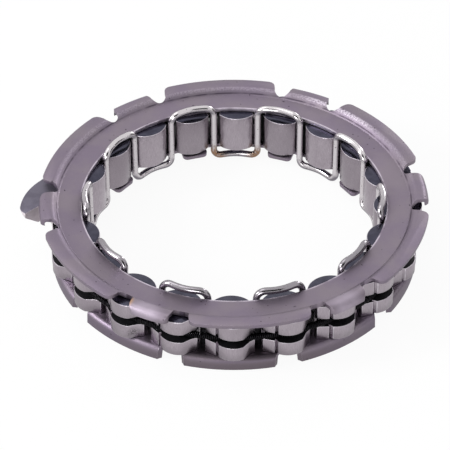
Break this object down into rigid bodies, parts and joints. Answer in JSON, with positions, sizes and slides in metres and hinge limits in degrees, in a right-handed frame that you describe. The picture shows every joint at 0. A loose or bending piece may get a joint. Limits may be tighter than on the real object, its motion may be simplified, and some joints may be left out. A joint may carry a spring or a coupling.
{
  "type": "sprag clutch",
  "caption": "Caged sprag clutch: tilting sprags between two stamped rings, a zig-zag wire spring, a garter spring and a locating key.",
  "frame": {"origin": "on the clutch's axis, midway between the outer faces of the two cage rings", "axes": "+Z along the axis towards the ring with the stepped flange tabs, -X through the locating key"},
  "size_m": [0.0774, 0.074, 0.0133],
  "materials": {
    "cage_sheet": "satin, nitrided grey with a purple cast",
    "sprag_steel": "ground cam faces",
    "spring_wire": "bright drawn spring wire"
  },
  "bodies": {
    "cage": {"upper_cage_ring": "cage_sheet", "lower_cage_ring": "cage_sheet", "meander_spring": "spring_wire", "garter_spring": "spring_wire", "locating_key": "sprag_steel", "cage_bar_01": "cage_sheet", "cage_bar_02": "cage_sheet", "cage_bar_03": "cage_sheet", "cage_bar_04": "cage_sheet", "cage_bar_05": "cage_sheet", "cage_bar_06": "cage_sheet", "cage_bar_07": "cage_sheet", "cage_bar_08": "cage_sheet", "cage_bar_09": "cage_sheet", "cage_bar_10": "cage_sheet", "cage_bar_11": "cage_sheet", "cage_bar_12": "cage_sheet", "cage_bar_13": "cage_sheet", "cage_bar_14": "cage_sheet", "cage_bar_15": "cage_sheet", "cage_bar_16": "cage_sheet", "cage_bar_17": "cage_sheet", "cage_bar_18": "cage_sheet", "cage_bar_19": "cage_sheet", "cage_bar_20": "cage_sheet"},
    "sprag_01": {"sprag_01": "sprag_steel"},
    "sprag_02": {"sprag_02": "sprag_steel"},
    "sprag_03": {"sprag_03": "sprag_steel"},
    "sprag_04": {"sprag_04": "sprag_steel"},
    "sprag_05": {"sprag_05": "sprag_steel"},
    "sprag_06": {"sprag_06": "sprag_steel"},
    "sprag_07": {"sprag_07": "sprag_steel"},
    "sprag_08": {"sprag_08": "sprag_steel"},
    "sprag_09": {"sprag_09": "sprag_steel"},
    "sprag_10": {"sprag_10": "sprag_steel"},
    "sprag_11": {"sprag_11": "sprag_steel"},
    "sprag_12": {"sprag_12": "sprag_steel"},
    "sprag_13": {"sprag_13": "sprag_steel"},
    "sprag_14": {"sprag_14": "sprag_steel"},
    "sprag_15": {"sprag_15": "sprag_steel"},
    "sprag_17": {"sprag_17": "sprag_steel"},
    "sprag_18": {"sprag_18": "sprag_steel"},
    "sprag_19": {"sprag_19": "sprag_steel"},
    "sprag_20": {"sprag_20": "sprag_steel"}
  },
  "joints": [
    {"name": "sprag_01_tilt", "type": "hinge", "parent": "cage", "child": "sprag_01", "pos_m": [-0.0003, 0.03171, 0], "axis": [0, 0, 1], "range_deg": [0, 13], "stiffness_Nm_per_rad": 0.0004, "springref_deg": -5.73},
    {"name": "sprag_02_tilt", "type": "hinge", "parent": "cage", "child": "sprag_02", "pos_m": [0.00951, 0.03025, 0], "axis": [0, 0, 1], "range_deg": [0, 13], "stiffness_Nm_per_rad": 0.0004, "springref_deg": -5.73},
    {"name": "sprag_03_tilt", "type": "hinge", "parent": "cage", "child": "sprag_03", "pos_m": [0.0184, 0.02583, 0], "axis": [0, 0, 1], "range_deg": [0, 13], "stiffness_Nm_per_rad": 0.0004, "springref_deg": -5.73},
    {"name": "sprag_04_tilt", "type": "hinge", "parent": "cage", "child": "sprag_04", "pos_m": [0.02548, 0.01888, 0], "axis": [0, 0, 1], "range_deg": [0, 13], "stiffness_Nm_per_rad": 0.0004, "springref_deg": -5.73},
    {"name": "sprag_05_tilt", "type": "hinge", "parent": "cage", "child": "sprag_05", "pos_m": [0.03007, 0.01008, 0], "axis": [0, 0, 1], "range_deg": [0, 13], "stiffness_Nm_per_rad": 0.0004, "springref_deg": -5.73},
    {"name": "sprag_06_tilt", "type": "hinge", "parent": "cage", "child": "sprag_06", "pos_m": [0.03171, 0.0003, 0], "axis": [0, 0, 1], "range_deg": [0, 13], "stiffness_Nm_per_rad": 0.0004, "springref_deg": -5.73},
    {"name": "sprag_07_tilt", "type": "hinge", "parent": "cage", "child": "sprag_07", "pos_m": [0.03025, -0.00951, 0], "axis": [0, 0, 1], "range_deg": [0, 13], "stiffness_Nm_per_rad": 0.0004, "springref_deg": -5.73},
    {"name": "sprag_08_tilt", "type": "hinge", "parent": "cage", "child": "sprag_08", "pos_m": [0.02583, -0.0184, 0], "axis": [0, 0, 1], "range_deg": [0, 13], "stiffness_Nm_per_rad": 0.0004, "springref_deg": -5.73},
    {"name": "sprag_09_tilt", "type": "hinge", "parent": "cage", "child": "sprag_09", "pos_m": [0.01888, -0.02548, 0], "axis": [0, 0, 1], "range_deg": [0, 13], "stiffness_Nm_per_rad": 0.0004, "springref_deg": -5.73},
    {"name": "sprag_10_tilt", "type": "hinge", "parent": "cage", "child": "sprag_10", "pos_m": [0.01008, -0.03007, 0], "axis": [0, 0, 1], "range_deg": [0, 13], "stiffness_Nm_per_rad": 0.0004, "springref_deg": -5.73},
    {"name": "sprag_11_tilt", "type": "hinge", "parent": "cage", "child": "sprag_11", "pos_m": [0.0003, -0.03171, 0], "axis": [0, 0, 1], "range_deg": [0, 13], "stiffness_Nm_per_rad": 0.0004, "springref_deg": -5.73},
    {"name": "sprag_12_tilt", "type": "hinge", "parent": "cage", "child": "sprag_12", "pos_m": [-0.00951, -0.03025, 0], "axis": [0, 0, 1], "range_deg": [0, 13], "stiffness_Nm_per_rad": 0.0004, "springref_deg": -5.73},
    {"name": "sprag_13_tilt", "type": "hinge", "parent": "cage", "child": "sprag_13", "pos_m": [-0.0184, -0.02583, 0], "axis": [0, 0, 1], "range_deg": [0, 13], "stiffness_Nm_per_rad": 0.0004, "springref_deg": -5.73},
    {"name": "sprag_14_tilt", "type": "hinge", "parent": "cage", "child": "sprag_14", "pos_m": [-0.02548, -0.01888, 0], "axis": [0, 0, 1], "range_deg": [0, 13], "stiffness_Nm_per_rad": 0.0004, "springref_deg": -5.73},
    {"name": "sprag_15_tilt", "type": "hinge", "parent": "cage", "child": "sprag_15", "pos_m": [-0.03007, -0.01008, 0], "axis": [0, 0, 1], "range_deg": [0, 13], "stiffness_Nm_per_rad": 0.0004, "springref_deg": -5.73},
    {"name": "sprag_17_tilt", "type": "hinge", "parent": "cage", "child": "sprag_17", "pos_m": [-0.03025, 0.00951, 0], "axis": [0, 0, 1], "range_deg": [0, 13], "stiffness_Nm_per_rad": 0.0004, "springref_deg": -5.73},
    {"name": "sprag_18_tilt", "type": "hinge", "parent": "cage", "child": "sprag_18", "pos_m": [-0.02583, 0.0184, 0], "axis": [0, 0, 1], "range_deg": [0, 13], "stiffness_Nm_per_rad": 0.0004, "springref_deg": -5.73},
    {"name": "sprag_19_tilt", "type": "hinge", "parent": "cage", "child": "sprag_19", "pos_m": [-0.01888, 0.02548, 0], "axis": [0, 0, 1], "range_deg": [0, 13], "stiffness_Nm_per_rad": 0.0004, "springref_deg": -5.73},
    {"name": "sprag_20_tilt", "type": "hinge", "parent": "cage", "child": "sprag_20", "pos_m": [-0.01008, 0.03007, 0], "axis": [0, 0, 1], "range_deg": [0, 13], "stiffness_Nm_per_rad": 0.0004, "springref_deg": -5.73}
  ],
  "couplings": [
    {"joint": "sprag_02_tilt", "follows": "sprag_01_tilt", "ratio": 1},
    {"joint": "sprag_03_tilt", "follows": "sprag_01_tilt", "ratio": 1},
    {"joint": "sprag_04_tilt", "follows": "sprag_01_tilt", "ratio": 1},
    {"joint": "sprag_05_tilt", "follows": "sprag_01_tilt", "ratio": 1},
    {"joint": "sprag_06_tilt", "follows": "sprag_01_tilt", "ratio": 1},
    {"joint": "sprag_07_tilt", "follows": "sprag_01_tilt", "ratio": 1},
    {"joint": "sprag_08_tilt", "follows": "sprag_01_tilt", "ratio": 1},
    {"joint": "sprag_09_tilt", "follows": "sprag_01_tilt", "ratio": 1},
    {"joint": "sprag_10_tilt", "follows": "sprag_01_tilt", "ratio": 1},
    {"joint": "sprag_11_tilt", "follows": "sprag_01_tilt", "ratio": 1},
    {"joint": "sprag_12_tilt", "follows": "sprag_01_tilt", "ratio": 1},
    {"joint": "sprag_13_tilt", "follows": "sprag_01_tilt", "ratio": 1},
    {"joint": "sprag_14_tilt", "follows": "sprag_01_tilt", "ratio": 1},
    {"joint": "sprag_15_tilt", "follows": "sprag_01_tilt", "ratio": 1},
    {"joint": "sprag_17_tilt", "follows": "sprag_01_tilt", "ratio": 1},
    {"joint": "sprag_18_tilt", "follows": "sprag_01_tilt", "ratio": 1},
    {"joint": "sprag_19_tilt", "follows": "sprag_01_tilt", "ratio": 1},
    {"joint": "sprag_20_tilt", "follows": "sprag_01_tilt", "ratio": 1}
  ]
}
